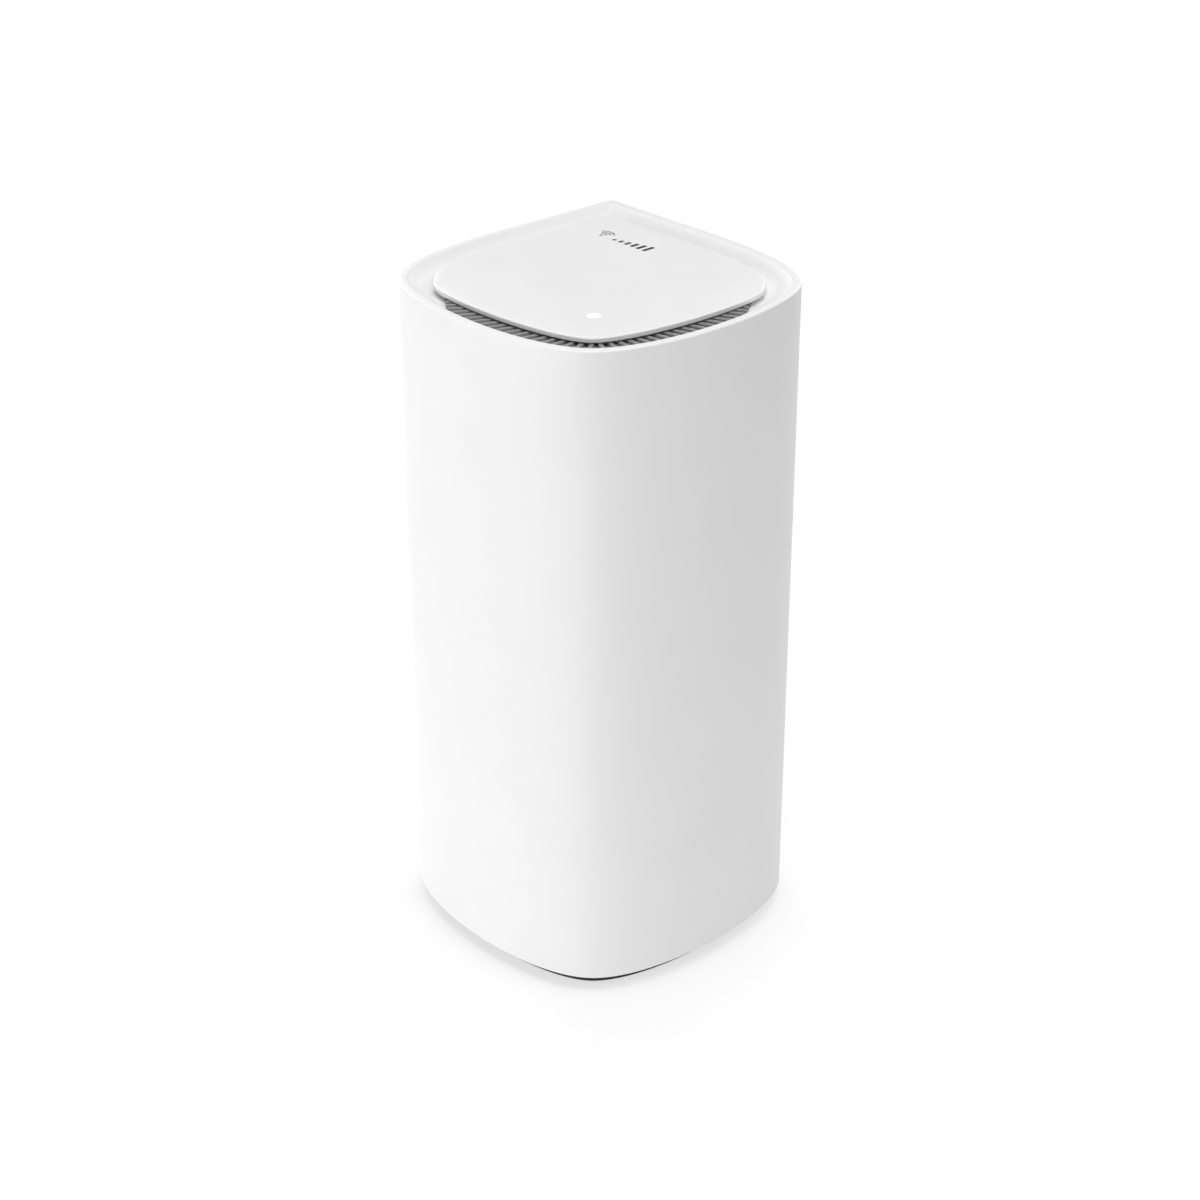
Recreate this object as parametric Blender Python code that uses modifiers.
"""Mesh wifi node: a free-standing white tower with one sharp rear corner and three rounded ones.

The outer shell is a sleeve. Its top carries a dished bezel with an exhaust slot, and a cap that floats over
the dish. A dark base closes the bottom, and the sockets and buttons sit in a recess low in the rear face.
Inside, a chassis holds the main board, the heat sinks and the antennas.

Frame: +Z up, origin on the floor under the middle of the bounding box, +Y out of the rear face with the
sockets, -X out of the other flat face. The sharp corner is at -X +Y and the rounded nose at +X -Y.
"""

import math

import bmesh
import bpy
from mathutils import Matrix, Vector

MM = 0.001
ROOT_HALF = math.sqrt(0.5)
GAP = 0.3 * MM                # clearance between pieces that touch

# ---------------------------------------------------------------- driving dimensions

HEIGHT = 175.0 * MM
SHELL_BOTTOM = 4.0 * MM
WALL = 2.2 * MM               # thickness of the outer shell, which is also the width of the top lip
CORNER_RADIUS = 1.0 * MM      # of the sharp rear corner

# Outlines are drawn about the diagonal from the nose to the sharp corner. Each gives the reach from the axis
# to the corner, the side and the nose, how far the side point sits towards the nose, the straight run next
# to the corner, and the four Bezier handle lengths on the way from there to the nose.
SHELL_SHAPE = {"corner": 60.1 * MM, "side": 48.9 * MM, "nose": 51.1 * MM, "set_back": 2.3 * MM,
               "straight": 19.9 * MM, "handles": (18.5 * MM, 17.0 * MM, 16.4 * MM, 18.0 * MM)}
CAP_SHAPE = {"corner": 47.8 * MM, "side": 39.9 * MM, "nose": 42.1 * MM, "set_back": 6.6 * MM,
             "straight": 26.6 * MM, "handles": (35.2 * MM, 8.0 * MM, 8.0 * MM, 10.5 * MM)}
CORNER_STEPS = 3
SIDE_STEPS = 14
NOSE_STEPS = 12
SIDE_STATION = CORNER_STEPS + SIDE_STEPS + 1
NOSE_STATION = SIDE_STATION + NOSE_STEPS

# Top: the dish of the bezel, the slot through it, and the cap that floats over it.
DISH_FLOOR = HEIGHT - 3.2 * MM
DISH_UNDERSIDE = DISH_FLOOR - 1.5 * MM
SKIRT_BOTTOM = 163.0 * MM
SLOT_OUTER = 3.4 * MM         # insets from the outline
SLOT_INNER = 12.4 * MM
SLOT_END = 33.5 * MM          # distance of the slot's end centres from the diagonal
RIB_PITCH = 2.56 * MM
RIB_WIDTH = 0.95 * MM
RIB_FALL = 3.0 * MM           # drop of a rib's top edge from the lip to the middle
CAP_EDGE = 1.3 * MM
CAP_TOP = HEIGHT - 0.1 * MM
LED_ALONG = -27.6 * MM        # position of the status light on the diagonal
LED_RADIUS = 1.5 * MM

# Rear: the window in the shell and the panel behind it.
WINDOW_X = (-36.0 * MM, 4.5 * MM)
WINDOW_Z = (10.0 * MM, 73.0 * MM)
PANEL_FRONT = 41.0 * MM
PANEL_BACK = 39.2 * MM
JACK_FRONT = 40.8 * MM
JACK_WIDTH = 15.9 * MM
JACK_HEIGHT = 13.5 * MM
JACK_COLUMNS = (-25.0 * MM, -7.0 * MM)
JACK_ROWS = (36.5 * MM, 52.5 * MM)
DC_CENTRE = (-25.0 * MM, 19.5 * MM)
ROCKER_CENTRE = (-7.0 * MM, 19.5 * MM)
ROCKER_PIVOT_Y = 40.0 * MM
ROCKER_TILT = math.radians(7.0)
PAIR_CENTRE = (-25.0 * MM, 65.5 * MM)
RESET_CENTRE = (-12.0 * MM, 65.5 * MM)
STEM_END = 26.4 * MM

# Inside.
BOARD_Y = (19.0 * MM, 20.6 * MM)
BOARD_X = (-36.0 * MM, 31.0 * MM)
BOARD_Z = (14.0 * MM, 151.0 * MM)
BOARD_FRONT = BOARD_Y[1] + GAP
BOARD_REAR = BOARD_Y[0] - GAP
SINK_X = (-33.0 * MM, 27.0 * MM)
SINK_Z = (66.0 * MM, 146.0 * MM)
SINK_Y = (13.0 * MM, 15.5 * MM)
SINK_FIN_TIP = -19.0 * MM
SINK_SCREWS = [(x, z) for x in (-30.0 * MM, 24.0 * MM) for z in (79.0 * MM, 141.0 * MM)]
CHASSIS_FLOOR = (10.4 * MM, 12.4 * MM)
CHASSIS_ROOF = (152.0 * MM, 154.0 * MM)
BASE_SCREWS = [(0.0, 41.0 * MM), (33.0 * MM, 0.0), (0.0, -35.0 * MM), (-33.0 * MM, 0.0)]
CAP_SCREWS = [(0.0, 22.0 * MM), (20.0 * MM, -8.0 * MM), (-20.0 * MM, -8.0 * MM)]


# ---------------------------------------------------------------- outlines

def bezier_point(knots, t):
    """Point and direction of travel at t on a cubic Bezier stretch."""
    a, b, c, d = knots
    u = 1.0 - t
    point = a * u ** 3 + b * 3 * u * u * t + c * 3 * u * t * t + d * t ** 3
    heading = (b - a) * u * u + (c - b) * 2 * u * t + (d - c) * t * t
    return point, heading.normalized()


def half_outline(shape, inset, radius):
    """Points from the sharp corner round the right-hand side to the nose, moved inwards by inset."""
    first, second, third, fourth = shape["handles"]
    run = Vector((ROOT_HALF, -ROOT_HALF))
    corner = Vector((0.0, shape["corner"]))
    side = Vector((shape["side"], -shape["set_back"]))
    nose = Vector((0.0, -shape["nose"]))
    bend = corner + run * shape["straight"]
    up = Vector((0.0, 1.0))
    right = Vector((1.0, 0.0))

    arc_centre = shape["corner"] - (inset + radius) / ROOT_HALF
    points = []
    for step in range(CORNER_STEPS + 1):
        angle = math.radians(45.0) * step / CORNER_STEPS
        points.append(Vector((radius * math.sin(angle), arc_centre + radius * math.cos(angle))))

    stretches = [((bend, bend + run * first, side + up * second, side), SIDE_STEPS, 0),
                 ((side, side - up * third, nose + right * fourth, nose), NOSE_STEPS, 1)]
    for knots, steps, start in stretches:
        for step in range(start, steps + 1):
            point, heading = bezier_point(knots, step / steps)
            inwards = Vector((heading.y, -heading.x))
            points.append(point + inwards * inset)
    return points


def outline_shift():
    """Half the difference between the outline's reach along +X and -X, which centres its box."""
    half = half_outline(SHELL_SHAPE, 0.0, CORNER_RADIUS)
    both = half + [Vector((-p.x, p.y)) for p in half]
    across = [(p.x - p.y) * ROOT_HALF for p in both]
    return -(max(across) + min(across)) / 2


SHIFT = outline_shift()


def plan(across, along):
    """Turn a point given across and along the diagonal into X and Y."""
    return Vector(((across - along) * ROOT_HALF + SHIFT, (across + along) * ROOT_HALF - SHIFT))


def outline(shape, inset, radius=CORNER_RADIUS):
    """Closed outline as X, Y points, starting at the sharp corner and ending beside it."""
    half = half_outline(shape, inset, radius)
    mirrored = [Vector((-p.x, p.y)) for p in reversed(half[1:-1])]
    return [plan(p.x, p.y) for p in half + mirrored]


# ---------------------------------------------------------------- scene, materials and mesh helpers

def clear_scene():
    for item in list(bpy.data.objects):
        bpy.data.objects.remove(item, do_unlink=True)


def new_collection(name):
    collection = bpy.data.collections.new(name)
    bpy.context.scene.collection.children.link(collection)
    return collection


clear_scene()
PARTS = new_collection("mesh_wifi_node")
CUTTERS = new_collection("cutters")


def make_material(name, colour, roughness, metallic=0.0):
    material = bpy.data.materials.new(name)
    material.use_nodes = True
    shader = material.node_tree.nodes["Principled BSDF"]
    shader.inputs["Base Color"].default_value = (*colour, 1.0)
    shader.inputs["Roughness"].default_value = roughness
    shader.inputs["Metallic"].default_value = metallic
    material.diffuse_color = (*colour, 1.0)
    return material


WHITE_SHELL = make_material("white_shell", (0.86, 0.86, 0.86), 0.38)
WHITE_CAP = make_material("white_cap", (0.84, 0.84, 0.85), 0.32)
DARK_GRILLE = make_material("dark_grille", (0.2, 0.2, 0.21), 0.5)
DARK_BASE = make_material("dark_base", (0.05, 0.05, 0.06), 0.5)
RUBBER = make_material("rubber", (0.03, 0.03, 0.035), 0.8)
CLEAR_LENS = make_material("clear_lens", (0.95, 0.95, 0.95), 0.1)
LED_YELLOW = make_material("led_yellow", (0.9, 0.85, 0.5), 0.3)
GREY_CHASSIS = make_material("grey_chassis", (0.35, 0.36, 0.38), 0.5)
BOARD_GREEN = make_material("board_green", (0.02, 0.14, 0.07), 0.4)
CHIP_BLACK = make_material("chip_black", (0.02, 0.02, 0.02), 0.45)
PAD_BLUE = make_material("pad_blue", (0.25, 0.4, 0.6), 0.8)
ALUMINIUM = make_material("aluminium", (0.75, 0.76, 0.78), 0.35, 1.0)
TIN_PLATE = make_material("tin_plate", (0.72, 0.72, 0.72), 0.3, 1.0)
COPPER_FLEX = make_material("copper_flex", (0.65, 0.35, 0.12), 0.4)
CABLE_GREY = make_material("cable_grey", (0.25, 0.25, 0.27), 0.5)
SCREW_STEEL = make_material("screw_steel", (0.5, 0.5, 0.52), 0.3, 1.0)
BUTTON_WHITE = make_material("button_white", (0.8, 0.8, 0.8), 0.4)


def place(name, bm, material=None, location=(0.0, 0.0, 0.0)):
    """Turn a bmesh into an object: a part if it has a material, otherwise a hidden cutter."""
    bmesh.ops.recalc_face_normals(bm, faces=bm.faces)
    mesh = bpy.data.meshes.new(name)
    bm.to_mesh(mesh)
    bm.free()
    mesh.shade_smooth()
    mesh.set_sharp_from_angle(angle=math.radians(35.0))
    item = bpy.data.objects.new(name, mesh)
    item.location = location
    if material is None:
        CUTTERS.objects.link(item)
        item.hide_render = True
        item.display_type = "WIRE"
    else:
        mesh.materials.append(material)
        PARTS.objects.link(item)
    return item


def add_box(bm, low, high):
    low, high = Vector(low), Vector(high)
    made = bmesh.ops.create_cube(bm, size=1.0)
    for vertex in made["verts"]:
        for axis in range(3):
            vertex.co[axis] = low[axis] if vertex.co[axis] < 0 else high[axis]


def add_cylinder(bm, radius, start, end, sides=14):
    start, end = Vector(start), Vector(end)
    along = end - start
    turn = along.to_track_quat("Z", "Y").to_matrix().to_4x4()
    matrix = Matrix.Translation((start + end) / 2) @ turn
    bmesh.ops.create_cone(bm, cap_ends=True, segments=sides, radius1=radius, radius2=radius,
                          depth=along.length, matrix=matrix)


def box(name, low, high, material=None):
    bm = bmesh.new()
    add_box(bm, low, high)
    return place(name, bm, material)


def cylinder(name, radius, start, end, material=None, sides=16):
    bm = bmesh.new()
    add_cylinder(bm, radius, start, end, sides)
    return place(name, bm, material)


def turned(name, profile, start, axis, material=None, sides=18):
    """A round piece built from (distance along the axis, radius, star) steps.

    A star below 1 pulls every second corner of that step inwards, for a screw's drive recess.
    """
    bm = bmesh.new()
    turn = Vector(axis).to_track_quat("Z", "Y").to_matrix().to_4x4()
    matrix = Matrix.Translation(start) @ turn
    rings = []
    for distance, radius, star in profile:
        ring = []
        for step in range(sides):
            angle = math.tau * step / sides
            reach = radius * star if step % 2 else radius
            spot = Vector((reach * math.cos(angle), reach * math.sin(angle), distance))
            ring.append(bm.verts.new(matrix @ spot))
        rings.append(ring)
    join_rings(bm, rings, closed=True)
    bm.faces.new(rings[0])
    bm.faces.new(rings[-1])
    return place(name, bm, material)


def join_rings(bm, rings, closed):
    """Skin successive rings of vertices with quads; closed rings also join their last point to their first."""
    for lower, upper in zip(rings, rings[1:]):
        count = len(lower)
        for here in range(count if closed else count - 1):
            after = (here + 1) % count
            bm.faces.new((lower[here], lower[after], upper[after], upper[here]))


def slab(name, shape, layers, material=None):
    """A solid whose cross-section is the outline: layers are (inset, height) from bottom to top."""
    bm = bmesh.new()
    rings = [[bm.verts.new((p.x, p.y, height)) for p in outline(shape, inset)] for inset, height in layers]
    join_rings(bm, rings, closed=True)
    bm.faces.new(rings[0])
    bm.faces.new(rings[-1])
    return place(name, bm, material)


def swept_ring(name, shape, section, material=None):
    """A closed ring round the outline: section is a closed polygon of (inset, height)."""
    bm = bmesh.new()
    rings = [[bm.verts.new((p.x, p.y, height)) for p in outline(shape, inset)] for inset, height in section]
    join_rings(bm, rings + [rings[0]], closed=True)
    return place(name, bm, material)


def swept_strip(name, stations, section, material=None):
    """A strip along part of the shell's outline, between two station numbers."""
    bm = bmesh.new()
    first, last = stations
    rings = []
    for inset, height in section:
        points = outline(SHELL_SHAPE, inset)[first:last + 1]
        rings.append([bm.verts.new((p.x, p.y, height)) for p in points])
    join_rings(bm, rings + [rings[0]], closed=False)
    for end in (0, -1):
        bm.faces.new([ring[end] for ring in rings])
    return place(name, bm, material)


def boolean(target, operation, others):
    for other in others:
        modifier = target.modifiers.new(operation.lower() + "_" + other.name, "BOOLEAN")
        modifier.operation = operation
        modifier.object = other
    return target


def cut(target, *others):
    return boolean(target, "DIFFERENCE", others)


def join(target, *others):
    return boolean(target, "UNION", others)


def nose_station(distance, inset):
    """X, Y point and inward direction at a signed distance along the outline from the nose."""
    points = outline(SHELL_SHAPE, inset)
    step = 1 if distance >= 0 else -1
    left = abs(distance)
    here = NOSE_STATION
    while True:
        span = points[here + step] - points[here]
        if left <= span.length:
            break
        left -= span.length
        here += step
    heading = span.normalized() * step
    return points[here] + span.normalized() * left, Vector((heading.y, -heading.x))


# ---------------------------------------------------------------- casing

def build_outer_shell():
    lip_round = 0.35 * MM
    section = [(0.0, SHELL_BOTTOM + lip_round), (0.0, HEIGHT - lip_round), (lip_round, HEIGHT),
               (WALL - lip_round, HEIGHT), (WALL, HEIGHT - lip_round), (WALL, SHELL_BOTTOM),
               (lip_round, SHELL_BOTTOM)]
    shell = swept_ring("outer_shell", SHELL_SHAPE, section, WHITE_SHELL)
    window = box("window_cutter", (WINDOW_X[0], 36 * MM, WINDOW_Z[0]), (WINDOW_X[1], 50 * MM, WINDOW_Z[1]))
    rounding = window.modifiers.new("round_corners", "BEVEL")
    rounding.width = 2.5 * MM
    rounding.segments = 4
    cut(shell, window)


def slot_cutters(low, high, margin):
    """Strip and two round ends that follow the slot, made wider by margin all round."""
    middle = (SLOT_OUTER + SLOT_INNER) / 2
    half_width = (SLOT_INNER - SLOT_OUTER) / 2 + margin
    bm = bmesh.new()
    points = slot_centres(middle)
    rings = []
    for inset, height in ((middle - half_width, low), (middle + half_width, low),
                          (middle + half_width, high), (middle - half_width, high)):
        ring = []
        for point, inwards in points:
            spot = point + inwards * (inset - middle)
            ring.append(bm.verts.new((spot.x, spot.y, height)))
        rings.append(ring)
    join_rings(bm, rings + [rings[0]], closed=False)
    for end in (0, -1):
        bm.faces.new([ring[end] for ring in rings])
    strip = place("slot_cutter", bm)
    ends = []
    for point, _ in (points[0], points[-1]):
        start, end = (point.x, point.y, low), (point.x, point.y, high)
        ends.append(cylinder("slot_end_cutter", half_width - 0.01 * MM, start, end, sides=24))
    return [strip] + ends


def slot_half_length(middle):
    """Distance along the slot's middle line from the nose to the centre of its round end."""
    distance = 0.0
    while True:
        point, _ = nose_station(distance, middle)
        if abs(point.x + point.y) * ROOT_HALF >= SLOT_END:
            return distance
        distance += 0.5 * MM


def slot_centres(middle):
    """Evenly spaced points on the slot's middle line, each with its inward direction."""
    half = slot_half_length(middle)
    count = 24
    return [nose_station(half * (2 * i / count - 1), middle) for i in range(count + 1)]


def build_top_bezel():
    side = WALL + GAP
    dish = [(side, SKIRT_BOTTOM), (side, HEIGHT - 0.5 * MM), (side + 0.3 * MM, HEIGHT - 0.2 * MM),
            (3.4 * MM, HEIGHT - 0.6 * MM), (4.6 * MM, HEIGHT - 1.7 * MM), (6.0 * MM, HEIGHT - 2.6 * MM),
            (7.6 * MM, HEIGHT - 3.05 * MM), (9.4 * MM, DISH_FLOOR)]
    bezel = slab("top_bezel", SHELL_SHAPE, dish, WHITE_SHELL)
    skirt_inner = 4.3 * MM
    hollow = slab("bezel_hollow_cutter", SHELL_SHAPE,
                  [(skirt_inner, SKIRT_BOTTOM - MM), (skirt_inner, DISH_UNDERSIDE - 1.2 * MM),
                   (6.6 * MM, DISH_UNDERSIDE)])
    cut(bezel, hollow)

    bosses = bmesh.new()
    for x, y in led_board_screw_places():
        add_cylinder(bosses, 2.6 * MM, (x, y, LED_BOARD_Z[1] + GAP), (x, y, DISH_UNDERSIDE + 0.5 * MM))
    join(bezel, place("bezel_boss_union", bosses))

    holes = bmesh.new()
    for across, along in CAP_SCREWS:
        spot = plan(across, along)
        add_cylinder(holes, 1.5 * MM, (spot.x, spot.y, DISH_UNDERSIDE - MM), (spot.x, spot.y, HEIGHT))
    for x, y in led_board_screw_places():
        add_cylinder(holes, 1.1 * MM, (x, y, LED_BOARD_Z[0]), (x, y, DISH_UNDERSIDE))
    led = plan(0.0, LED_ALONG)
    add_cylinder(holes, LED_RADIUS + GAP, (led.x, led.y, DISH_UNDERSIDE - MM), (led.x, led.y, HEIGHT))
    cut(bezel, place("bezel_hole_cutter", holes), *slot_cutters(SLOT_BOTTOM, HEIGHT + MM, 0.0))


SLOT_BOTTOM = DISH_UNDERSIDE - 3.0 * MM
RIB_TOP = DISH_FLOOR + 0.5 * MM     # halfway along a rib


def build_vent_grille():
    """Two curved rails joined by ribs that run in from the lip, under the slot."""
    middle = (SLOT_OUTER + SLOT_INNER) / 2
    reach = slot_half_length(middle)
    bottom = SLOT_BOTTOM + GAP
    rail_top = bottom + 1.4 * MM
    outer_face, inner_face = SLOT_OUTER + GAP, SLOT_INNER - GAP
    rails = bmesh.new()
    for near, far in ((outer_face, outer_face + 1.0 * MM), (inner_face - 1.4 * MM, inner_face)):
        rings = []
        for inset, height in ((near, bottom), (far, bottom), (far, rail_top), (near, rail_top)):
            ring = []
            for point, inwards in slot_centres(middle):
                spot = point + inwards * (inset - middle)
                ring.append(rails.verts.new((spot.x, spot.y, height)))
            rings.append(ring)
        join_rings(rails, rings + [rings[0]], closed=False)
        for end in (0, -1):
            rails.faces.new([ring[end] for ring in rings])
    grille = place("vent_grille", rails, DARK_GRILLE)

    ribs = bmesh.new()
    count = int(2 * (reach - RIB_WIDTH) / RIB_PITCH)
    for number in range(count + 1):
        point, inwards = nose_station((number - count / 2) * RIB_PITCH, middle)
        length = inner_face - outer_face - 0.2 * MM
        tall = RIB_TOP - bottom - 0.2 * MM
        made = bmesh.ops.create_cube(ribs, size=1.0)
        for vertex in made["verts"]:
            if vertex.co.z > 0:
                vertex.co.z -= vertex.co.x * RIB_FALL / tall
        turn = Matrix.Rotation(math.atan2(inwards.y, inwards.x), 4, "Z")
        size = Matrix.Diagonal((length, RIB_WIDTH, tall, 1.0))
        centre = Matrix.Translation((point.x, point.y, (bottom + 0.2 * MM + RIB_TOP) / 2))
        bmesh.ops.transform(ribs, matrix=centre @ turn @ size, verts=made["verts"])
    join(grille, place("rib_union", ribs))


def build_top_cap():
    """Thin plate with a rounded edge on three short pillars."""
    lower = CAP_TOP - CAP_EDGE
    layers = [(1.6 * MM, lower - 0.35 * MM), (0.35 * MM, lower), (0.0, lower + 0.35 * MM),
              (0.0, CAP_TOP - 0.35 * MM), (0.35 * MM, CAP_TOP)]
    cap = slab("top_cap", CAP_SHAPE, layers, WHITE_CAP)
    pillars = bmesh.new()
    holes = bmesh.new()
    for across, along in CAP_SCREWS:
        x, y = plan(across, along)
        add_cylinder(pillars, 2.6 * MM, (x, y, DISH_FLOOR + GAP), (x, y, lower))
        add_cylinder(holes, 1.2 * MM, (x, y, DISH_FLOOR), (x, y, CAP_TOP - 1.1 * MM))
    led = plan(0.0, LED_ALONG)
    add_cylinder(holes, LED_RADIUS + GAP, (led.x, led.y, DISH_FLOOR), (led.x, led.y, HEIGHT + MM))
    join(cap, place("cap_pillar_union", pillars))
    cut(cap, place("cap_hole_cutter", holes))


# ---------------------------------------------------------------- status light

LED_BOARD_Z = (162.6 * MM, 163.6 * MM)
LED_BOARD_HALF = (11.0 * MM, 6.0 * MM)


def led_board_screw_places():
    centre = plan(0.0, LED_ALONG)
    return [(centre.x - 8.0 * MM, centre.y), (centre.x + 8.0 * MM, centre.y)]


def build_status_light():
    led = plan(0.0, LED_ALONG)
    pipe_bottom = LED_BOARD_Z[1] + 2.2 * MM
    flange = DISH_UNDERSIDE - GAP
    lens_top = CAP_TOP - 0.45 * MM
    heights = [(pipe_bottom, LED_RADIUS), (flange - 1.0 * MM, LED_RADIUS), (flange - 1.0 * MM, 2.6 * MM),
               (flange, 2.6 * MM), (flange, LED_RADIUS), (lens_top - 0.2 * MM, LED_RADIUS),
               (lens_top, LED_RADIUS - 0.2 * MM)]
    profile = [(height, radius, 1.0) for height, radius in heights]
    turned("led_light_pipe", profile, (led.x, led.y, 0.0), (0, 0, 1), CLEAR_LENS)

    chip_bottom = LED_BOARD_Z[1] + GAP
    box("status_led", (led.x - 1.5 * MM, led.y - 1.5 * MM, chip_bottom),
        (led.x + 1.5 * MM, led.y + 1.5 * MM, chip_bottom + 1.2 * MM), LED_YELLOW)

    board = box("led_board", (led.x - LED_BOARD_HALF[0], led.y - LED_BOARD_HALF[1], LED_BOARD_Z[0]),
                (led.x + LED_BOARD_HALF[0], led.y + LED_BOARD_HALF[1], LED_BOARD_Z[1]), BOARD_GREEN)
    holes = bmesh.new()
    for x, y in led_board_screw_places():
        add_cylinder(holes, 1.3 * MM, (x, y, LED_BOARD_Z[0] - MM), (x, y, LED_BOARD_Z[1] + MM))
    cut(board, place("led_board_hole_cutter", holes))


def ribbon(name, path, half_width, thickness, material):
    """Flat flexible cable in a YZ plane: path holds x, y, z points along its middle."""
    bm = bmesh.new()
    rings = []
    for index, point in enumerate(path):
        before = Vector(path[max(index - 1, 0)])
        after = Vector(path[min(index + 1, len(path) - 1)])
        heading = (after - before).normalized()
        side = Vector((1.0, 0.0, 0.0))
        face = heading.cross(side)
        centre = Vector(point)
        corners = ((-1, -1), (1, -1), (1, 1), (-1, 1))
        rings.append([bm.verts.new(centre + side * half_width * a + face * thickness / 2 * b)
                      for a, b in corners])
    join_rings(bm, rings, closed=True)
    bm.faces.new(rings[0])
    bm.faces.new(rings[-1])
    place(name, bm, material)


def build_led_ribbon():
    """The light board's flat cable, which runs back under the dish and turns down to the main board."""
    x = plan(0.0, LED_ALONG).x
    start_y = plan(0.0, LED_ALONG).y + LED_BOARD_HALF[1] - 2.0 * MM
    z_run = LED_BOARD_Z[0] - 0.6 * MM
    bend_radius = 5.0 * MM
    drop_y = BOARD_REAR - 4.0 * MM - bend_radius
    path = [(x, start_y, z_run), (x, drop_y, z_run)]
    for step in range(1, 7):
        angle = math.radians(90.0) * step / 6
        path.append((x, drop_y + bend_radius * math.sin(angle), z_run - bend_radius * (1 - math.cos(angle))))
    path.append((x, drop_y + bend_radius, BOARD_Z[1] - 1.0 * MM))
    for step in range(1, 5):
        angle = math.radians(90.0) * step / 4
        path.append((x, drop_y + bend_radius + 2.0 * MM * (1 - math.cos(angle)),
                     BOARD_Z[1] - 1.0 * MM - 2.0 * MM * math.sin(angle)))
    path.append((x, BOARD_REAR, BOARD_Z[1] - 3.0 * MM))
    ribbon("led_ribbon", path, 3.0 * MM, 0.4 * MM, COPPER_FLEX)


# ---------------------------------------------------------------- base

def build_base():
    plinth_inset = 4.3 * MM
    rim_inset = WALL + GAP + 0.1 * MM
    layers = [(plinth_inset + 0.4 * MM, 0.5 * MM), (plinth_inset, 0.9 * MM), (plinth_inset, 3.3 * MM),
              (rim_inset, 4.6 * MM), (rim_inset, 7.0 * MM)]
    cover = slab("base_cover", SHELL_SHAPE, layers, DARK_BASE)
    hollow = slab("base_hollow_cutter", SHELL_SHAPE, [(6.2 * MM, 2.6 * MM), (4.4 * MM, 5.0 * MM),
                                                      (4.4 * MM, 8.0 * MM)])
    groove = swept_ring("foot_groove_cutter", SHELL_SHAPE,
                        [(5.2 * MM, 0.0), (9.6 * MM, 0.0), (9.6 * MM, 1.6 * MM), (5.2 * MM, 1.6 * MM)])
    bosses, head_bores, shank_bores = bmesh.new(), bmesh.new(), bmesh.new()
    for number, (across, along) in enumerate(BASE_SCREWS, start=1):
        x, y = plan(across, along)
        add_cylinder(bosses, 4.0 * MM, (x, y, 1.0 * MM), (x, y, 4.5 * MM), 16)
        add_cylinder(head_bores, 2.7 * MM, (x, y, 0.0), (x, y, 2.6 * MM), 16)
        add_cylinder(shank_bores, 1.6 * MM, (x, y, 2.0 * MM), (x, y, 5.0 * MM), 12)
        screw(f"base_screw_{number}", (x, y, 0.7 * MM), (0, 0, 1), 2.3 * MM, 1.6 * MM, 1.2 * MM, 8.4 * MM)
    slots = bmesh.new()
    for number in range(-4, 5):
        along = number * 4.4 * MM
        reach = 22.0 * MM - abs(number) * 1.6 * MM
        middle = plan(0.0, along)
        made = bmesh.ops.create_cube(slots, size=1.0)
        size = Matrix.Diagonal((2 * reach, 2.0 * MM, 6.0 * MM, 1.0))
        turn = Matrix.Rotation(math.radians(45.0), 4, "Z")
        move = Matrix.Translation((middle.x, middle.y, 2.0 * MM))
        bmesh.ops.transform(slots, matrix=move @ turn @ size, verts=made["verts"])
    cut(cover, hollow)
    join(cover, place("base_boss_union", bosses))
    cut(cover, groove, place("head_bore_cutter", head_bores), place("shank_bore_cutter", shank_bores),
        place("intake_slot_cutter", slots))
    swept_ring("foot_ring", SHELL_SHAPE, [(5.5 * MM, 0.3 * MM), (5.8 * MM, 0.0), (9.3 * MM, 0.0),
                                          (9.3 * MM, 1.3 * MM), (5.5 * MM, 1.3 * MM)], RUBBER)


# ---------------------------------------------------------------- fasteners

def screw(name, head_end, axis, head_radius, head_depth, shank_radius, shank_length):
    """A pan-head screw with a six-point drive recess; axis points from the head along the shank."""
    drive = head_radius * 0.5
    end = head_depth + shank_length
    profile = [(head_depth * 0.6, drive, 0.72), (0.0, drive, 0.72), (head_depth * 0.35, head_radius, 1.0),
               (head_depth, head_radius, 1.0), (head_depth, shank_radius, 1.0),
               (end - shank_radius, shank_radius, 1.0), (end, shank_radius * 0.5, 1.0)]
    turned(name, profile, head_end, axis, SCREW_STEEL, sides=12)


# ---------------------------------------------------------------- rear panel, sockets and switches

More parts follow.
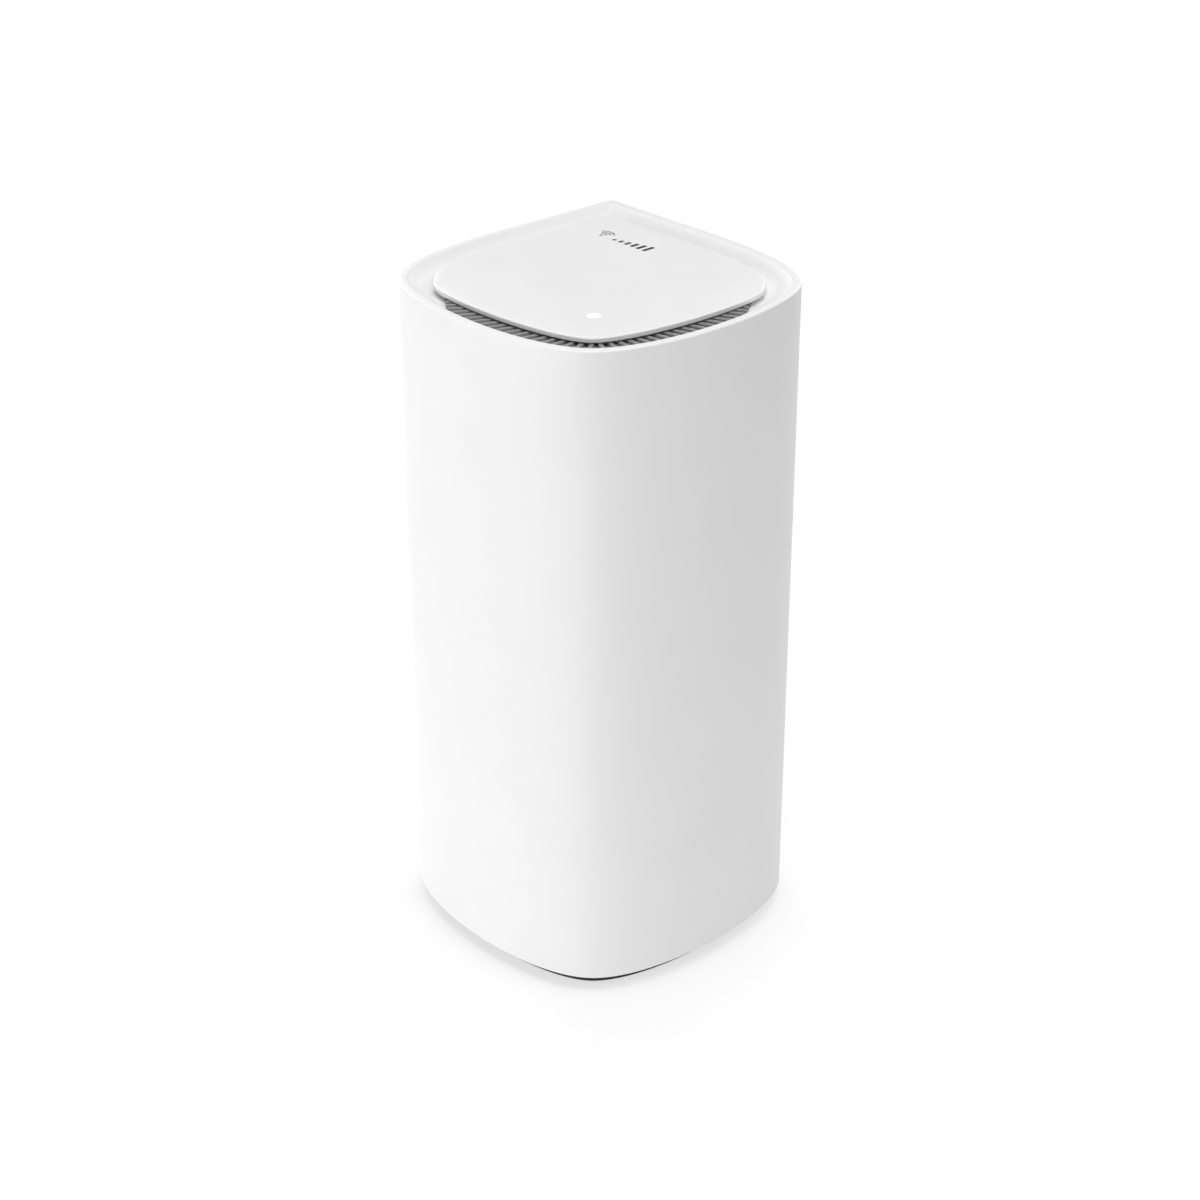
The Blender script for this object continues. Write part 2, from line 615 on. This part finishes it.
def build_io_panel():
    margin = 2.2 * MM
    panel = box("io_panel", (WINDOW_X[0] - margin, PANEL_BACK, WINDOW_Z[0] - margin),
                (WINDOW_X[1] + margin, PANEL_FRONT, WINDOW_Z[1] + margin), DARK_BASE)
    guides = bmesh.new()
    for (x, z), radius in ((PAIR_CENTRE, 5.6 * MM), (RESET_CENTRE, 4.0 * MM)):
        add_cylinder(guides, radius, (x, 31.0 * MM, z), (x, PANEL_BACK + 0.4 * MM, z), 24)
    join(panel, place("guide_union", guides))

    holes = bmesh.new()
    through = (PANEL_BACK - MM, PANEL_FRONT + MM)
    for x in JACK_COLUMNS:
        for z in JACK_ROWS:
            add_box(holes, (x - JACK_WIDTH / 2 - GAP, through[0], z - JACK_HEIGHT / 2 - GAP),
                    (x + JACK_WIDTH / 2 + GAP, through[1], z + JACK_HEIGHT / 2 + GAP))
    x, z = ROCKER_CENTRE
    add_box(holes, (x - 6.6 * MM, through[0], z - 4.4 * MM), (x + 6.6 * MM, through[1], z + 4.4 * MM))
    x, z = DC_CENTRE
    add_cylinder(holes, 4.5 * MM, (x, through[0], z), (x, through[1], z), 24)
    for (x, z), radius, flange_radius in ((PAIR_CENTRE, 3.5 * MM, 4.5 * MM), (RESET_CENTRE, 1.6 * MM, 2.9 * MM)):
        add_cylinder(holes, radius, (x, PANEL_BACK - 0.5 * MM, z), (x, through[1], z), 24)
    cut(panel, place("panel_hole_cutter", holes))
    bores = bmesh.new()
    for (x, z), flange_radius in ((PAIR_CENTRE, 4.5 * MM), (RESET_CENTRE, 2.9 * MM)):
        add_cylinder(bores, flange_radius, (x, 30.0 * MM, z), (x, PANEL_BACK, z), 24)
    cut(panel, place("guide_bore_cutter", bores))


def build_ethernet_jack(name, x, z):
    """Square jack body with a plug opening and the step for the plug's latch."""
    jack = box(name, (x - JACK_WIDTH / 2, BOARD_FRONT, z - JACK_HEIGHT / 2),
               (x + JACK_WIDTH / 2, JACK_FRONT, z + JACK_HEIGHT / 2), TIN_PLATE)
    mouth = box(name + "_mouth_cutter", (x - 5.95 * MM, 26.0 * MM, z - 2.6 * MM),
                (x + 5.95 * MM, 45.0 * MM, z + 5.2 * MM))
    latch = box(name + "_latch_cutter", (x - 3.2 * MM, 28.0 * MM, z - 4.6 * MM),
                (x + 3.2 * MM, 45.0 * MM, z - 2.0 * MM))
    cut(jack, mouth, latch)


def build_dc_jack():
    """Barrel inlet: a block on the board, a round nose through the panel and a centre pin."""
    x, z = DC_CENTRE
    nose_back = PANEL_BACK - 0.5 * MM
    jack = box("dc_jack", (x - 4.6 * MM, BOARD_FRONT, z - 5.4 * MM), (x + 4.6 * MM, nose_back, z + 5.4 * MM),
               CHIP_BLACK)
    nose = cylinder("dc_nose_union", 4.1 * MM, (x, nose_back - MM, z), (x, JACK_FRONT, z), sides=28)
    bore = cylinder("dc_bore_cutter", 3.15 * MM, (x, 31.0 * MM, z), (x, 45.0 * MM, z), sides=28)
    pin = cylinder("dc_pin_union", 1.0 * MM, (x, 30.0 * MM, z), (x, 39.5 * MM, z), sides=16)
    join(jack, nose)
    cut(jack, bore)
    join(jack, pin)


def build_power_switch():
    x, z = ROCKER_CENTRE
    front = PANEL_FRONT + GAP
    body = box("power_switch_body", (x - 6.3 * MM, 27.0 * MM, z - 4.1 * MM),
               (x + 6.3 * MM, front + 0.4 * MM, z + 4.1 * MM), CHIP_BLACK)
    flange = box("switch_flange_union", (x - 7.5 * MM, front, z - 5.3 * MM),
                 (x + 7.5 * MM, front + 0.9 * MM, z + 5.3 * MM))
    well = box("switch_well_cutter", (x - 5.5 * MM, 36.2 * MM, z - 3.0 * MM), (x + 5.5 * MM, 45.0 * MM, z + 3.0 * MM))
    sockets = cylinder("switch_pivot_cutter", 0.9 * MM, (x, ROCKER_PIVOT_Y, z - 3.6 * MM),
                       (x, ROCKER_PIVOT_Y, z + 3.6 * MM), sides=16)
    cut(join(body, flange), well, sockets)

    half_length, half_height = 4.9 * MM, 2.7 * MM
    profile = [(-half_length, 2.5 * MM), (0.0, 1.7 * MM), (half_length, 2.5 * MM), (half_length, 0.6 * MM),
               (3.4 * MM, -1.6 * MM), (0.0, -2.4 * MM), (-3.4 * MM, -1.6 * MM), (-half_length, 0.6 * MM)]
    bm = bmesh.new()
    rings = [[bm.verts.new((u, v, level)) for u, v in profile] for level in (-half_height, half_height)]
    join_rings(bm, rings, closed=True)
    bm.faces.new(rings[0])
    bm.faces.new(rings[1])
    rocker = place("power_rocker", bm, BUTTON_WHITE, (x, ROCKER_PIVOT_Y, z))
    pins = cylinder("rocker_pin_union", 0.6 * MM, (0, 0, -3.3 * MM), (0, 0, 3.3 * MM), sides=12)
    pins.location = rocker.location
    join(rocker, pins)
    for item in (rocker, pins):
        item.rotation_euler.z = -ROCKER_TILT


def build_button(name, centre, cap_radius, cap_front, flange_radius, stem_radius):
    """Push button that slides along Y; its origin is on its axis at the panel's front face."""
    x, z = centre
    flange_front = PANEL_BACK - GAP
    stations = [(STEM_END, stem_radius), (flange_front - 1.1 * MM, stem_radius),
                (flange_front - 1.1 * MM, flange_radius), (flange_front, flange_radius),
                (flange_front, cap_radius), (cap_front - 0.3 * MM, cap_radius), (cap_front, cap_radius - 0.3 * MM)]
    profile = [(y, radius, 1.0) for y, radius in stations]
    button = turned(name, profile, (0.0, -PANEL_FRONT, 0.0), (0, 1, 0), BUTTON_WHITE)
    button.location = (x, PANEL_FRONT, z)


def build_tact_switch(name, centre):
    x, z = centre
    half = 3.1 * MM
    body = box(name, (x - half, BOARD_FRONT, z - half), (x + half, BOARD_FRONT + 3.4 * MM, z + half), TIN_PLATE)
    join(body, cylinder(name + "_plunger_union", 1.7 * MM, (x, BOARD_FRONT + 3.0 * MM, z),
                        (x, STEM_END - 0.8 * MM, z), sides=16))


def build_rear():
    build_io_panel()
    names = iter(("lan_jack_1", "lan_jack_2", "lan_jack_3", "wan_jack"))
    for z in JACK_ROWS:
        for x in JACK_COLUMNS:
            build_ethernet_jack(next(names), x, z)
    build_dc_jack()
    build_power_switch()
    build_button("pair_button", PAIR_CENTRE, 3.2 * MM, PANEL_FRONT + 1.0 * MM, 4.2 * MM, 1.6 * MM)
    build_button("reset_button", RESET_CENTRE, 1.3 * MM, PANEL_FRONT - 0.8 * MM, 2.6 * MM, 1.2 * MM)
    build_tact_switch("pair_switch", PAIR_CENTRE)
    build_tact_switch("reset_switch", RESET_CENTRE)


# ---------------------------------------------------------------- inside

def build_chassis():
    """Floor and roof rings joined by two grooved rails that hold the edges of the main board."""
    outer, roof_inner = 5.2 * MM, 12.5 * MM
    chassis = slab("chassis", SHELL_SHAPE, [(outer, CHASSIS_FLOOR[0]), (outer, CHASSIS_FLOOR[1])], GREY_CHASSIS)
    roof = swept_ring("chassis_roof_union", SHELL_SHAPE,
                      [(outer, CHASSIS_ROOF[0]), (roof_inner, CHASSIS_ROOF[0]),
                       (roof_inner, CHASSIS_ROOF[1]), (outer, CHASSIS_ROOF[1])])
    rails, grooves = bmesh.new(), bmesh.new()
    rail_y = (15.7 * MM, 23.9 * MM)
    low, high = CHASSIS_FLOOR[1] - MM, CHASSIS_ROOF[0] + MM
    for edge, outwards in ((BOARD_X[0], -1), (BOARD_X[1], 1)):
        across = sorted((edge - outwards * 1.6 * MM, edge + outwards * 2.6 * MM))
        add_box(rails, (across[0], rail_y[0], low), (across[1], rail_y[1], high))
    add_box(grooves, (BOARD_X[0] - GAP, BOARD_Y[0] - GAP, BOARD_Z[0] - GAP),
            (BOARD_X[1] + GAP, BOARD_Y[1] + GAP, BOARD_Z[1] + GAP))
    bosses, openings = bmesh.new(), bmesh.new()
    add_cylinder(openings, 22.0 * MM, (0, 0, CHASSIS_FLOOR[0] - MM), (0, 0, CHASSIS_FLOOR[1] + MM), 32)
    for across, along in BASE_SCREWS:
        x, y = plan(across, along)
        add_cylinder(bosses, 3.2 * MM, (x, y, 4.8 * MM), (x, y, CHASSIS_FLOOR[1] - 0.5 * MM), 16)
        add_cylinder(openings, 1.5 * MM, (x, y, 4.0 * MM), (x, y, CHASSIS_FLOOR[1] + MM), 12)
    join(chassis, place("chassis_rail_union", rails), roof, place("chassis_boss_union", bosses))
    cut(chassis, place("board_groove_cutter", grooves), place("chassis_opening_cutter", openings))


def build_main_board():
    board = box("main_board", (BOARD_X[0], BOARD_Y[0], BOARD_Z[0]), (BOARD_X[1], BOARD_Y[1], BOARD_Z[1]),
                BOARD_GREEN)
    holes = bmesh.new()
    for x, z in SINK_SCREWS:
        add_cylinder(holes, 1.6 * MM, (x, BOARD_Y[0] - MM, z), (x, BOARD_Y[1] + MM, z))
    cut(board, place("board_hole_cutter", holes))

    def chip(name, x, z, half_x, half_z, depth, pad):
        box(name, (x - half_x, BOARD_REAR - depth, z - half_z), (x + half_x, BOARD_REAR, z + half_z), CHIP_BLACK)
        if pad:
            back, front = SINK_Y[1] + GAP, BOARD_REAR - depth - GAP
            inner = 1.0 * MM
            box(pad, (x - half_x + inner, back, z - half_z + inner), (x + half_x - inner, front, z + half_z - inner),
                PAD_BLUE)

    chip("processor_chip", -3 * MM, 118 * MM, 9.5 * MM, 9.5 * MM, 1.6 * MM, "processor_pad")
    chip("memory_chip", 17 * MM, 118 * MM, 4.0 * MM, 6.5 * MM, 1.1 * MM, None)
    chip("radio_chip_1", -17 * MM, 88 * MM, 6.0 * MM, 6.0 * MM, 1.2 * MM, "radio_pad_1")
    chip("radio_chip_2", 11 * MM, 88 * MM, 6.0 * MM, 6.0 * MM, 1.2 * MM, "radio_pad_2")

    for number, x in enumerate((-17 * MM, 11 * MM), start=1):
        shield = box(f"radio_shield_{number}", (x - 12 * MM, BOARD_FRONT, 86 * MM),
                     (x + 12 * MM, BOARD_FRONT + 3.2 * MM, 110 * MM), TIN_PLATE)
        inside = box("shield_inside_cutter", (x - 11.6 * MM, BOARD_FRONT - MM, 86.4 * MM),
                     (x + 11.6 * MM, BOARD_FRONT + 2.8 * MM, 109.6 * MM))
        cut(shield, inside)


def build_heat_sinks():
    fins = 11
    fin_width = 1.3 * MM
    sink = bmesh.new()
    add_box(sink, (SINK_X[0], SINK_Y[0], SINK_Z[0]), (SINK_X[1], SINK_Y[1], SINK_Z[1]))
    main = place("heat_sink", sink, ALUMINIUM)
    blades = bmesh.new()
    for number in range(fins):
        x = SINK_X[0] + fin_width + (SINK_X[1] - SINK_X[0] - 3 * fin_width) * number / (fins - 1)
        add_box(blades, (x, SINK_FIN_TIP, SINK_Z[0] + 0.5 * MM), (x + fin_width, SINK_Y[0] + MM, SINK_Z[1] - 0.5 * MM))
    posts, pilots = bmesh.new(), bmesh.new()
    for number, (x, z) in enumerate(SINK_SCREWS, start=1):
        add_cylinder(posts, 2.8 * MM, (x, SINK_Y[0] + MM, z), (x, BOARD_REAR, z))
        add_cylinder(pilots, 1.5 * MM, (x, SINK_Y[0] - 0.5 * MM, z), (x, BOARD_REAR + MM, z))
        screw(f"heat_sink_screw_{number}", (x, BOARD_FRONT + 1.6 * MM, z), (0, -1, 0),
              2.4 * MM, 1.6 * MM, 1.2 * MM, 5.5 * MM)
    join(main, place("sink_fin_union", blades), place("sink_post_union", posts))
    cut(main, place("sink_pilot_cutter", pilots))

    plate_y = (BOARD_FRONT + 3.2 * MM + GAP, BOARD_FRONT + 5.4 * MM + GAP)
    spreader = box("rear_heat_sink", (-31 * MM, plate_y[0], 84 * MM), (25 * MM, plate_y[1], 137 * MM), ALUMINIUM)
    blades = bmesh.new()
    for number in range(9):
        x = -29.5 * MM + number * 6.5 * MM
        add_box(blades, (x, plate_y[1] - MM, 84.5 * MM), (x + fin_width, 32 * MM, 136.5 * MM))
    join(spreader, place("rear_fin_union", blades))


def build_antennas():
    """Four flexible antennas on the outside of a curved carrier, each with a thin coax to the main board."""
    first = SIDE_STATION - 4
    last = 2 * NOSE_STATION - first
    outer, inner = 5.1 * MM, 6.3 * MM
    low, high = CHASSIS_FLOOR[1] + GAP, CHASSIS_ROOF[0] - GAP
    carrier = swept_strip("antenna_carrier", (first, last), [(outer, low), (inner, low), (inner, high),
                                                            (outer, high)], GREY_CHASSIS)
    feed_z = 147.6 * MM
    board_ends = [Vector((x * MM, y, 149.0 * MM))
                  for x, y in ((25, BOARD_FRONT), (8, BOARD_REAR), (-10, BOARD_REAR), (-27, BOARD_REAR))]
    holes = bmesh.new()
    for number, offset in enumerate((-11, -4, 4, 11), start=1):
        station = NOSE_STATION + offset
        swept_strip(f"antenna_{number}", (station - 2, station + 2),
                    [(outer - GAP - 0.5 * MM, 84 * MM), (outer - GAP, 84 * MM), (outer - GAP, 150 * MM),
                     (outer - GAP - 0.5 * MM, 150 * MM)], COPPER_FLEX)
        points = outline(SHELL_SHAPE, outer)
        inwards = (outline(SHELL_SHAPE, inner)[station] - points[station]).normalized()
        spot = points[station]
        beyond = spot + inwards * 3.0 * MM
        before = spot - inwards * 1.0 * MM
        add_cylinder(holes, 1.2 * MM, (before.x, before.y, feed_z), (beyond.x, beyond.y, feed_z), 12)
        end = board_ends[number - 1]
        coax(f"antenna_cable_{number}", Vector((spot.x, spot.y, feed_z)), inwards,
             end, Vector((0.0, math.copysign(1.0, end.y - BOARD_Y[1]), 0.0)))
    cut(carrier, place("feed_hole_cutter", holes))


def coax(name, start, inwards, end, facing):
    """A thin cable that leaves the antenna square to the carrier and meets the board square on."""
    inwards = Vector((inwards.x, inwards.y, 0.0))
    straight = start + inwards * 2.5 * MM
    reach = (end - straight).length * 0.45
    knots = (straight, straight + inwards * reach, end + facing * reach, end)
    curve = bpy.data.curves.new(name + "_curve", "CURVE")
    curve.dimensions = "3D"
    curve.bevel_depth = 0.6 * MM
    curve.bevel_resolution = 1
    curve.use_fill_caps = True
    points = [start] + [bezier_point(knots, step / 12)[0] for step in range(13)]
    spline = curve.splines.new("POLY")
    spline.points.add(len(points) - 1)
    for knot, point in zip(spline.points, points):
        knot.co = (*point, 1.0)
    curve.materials.append(CABLE_GREY)
    PARTS.objects.link(bpy.data.objects.new(name, curve))


def build_screws():
    for number, (across, along) in enumerate(CAP_SCREWS, start=1):
        x, y = plan(across, along)
        screw(f"cap_screw_{number}", (x, y, DISH_UNDERSIDE - GAP - 1.4 * MM), (0, 0, 1),
              2.1 * MM, 1.4 * MM, 0.9 * MM, 3.4 * MM)
    for number, (x, y) in enumerate(led_board_screw_places(), start=1):
        screw(f"led_board_screw_{number}", (x, y, LED_BOARD_Z[0] - GAP - 1.2 * MM), (0, 0, 1),
              1.9 * MM, 1.2 * MM, 0.8 * MM, 5.5 * MM)


build_outer_shell()
build_top_bezel()
build_vent_grille()
build_top_cap()
build_status_light()
build_led_ribbon()
build_base()
build_rear()
build_chassis()
build_main_board()
build_heat_sinks()
build_antennas()
build_screws()
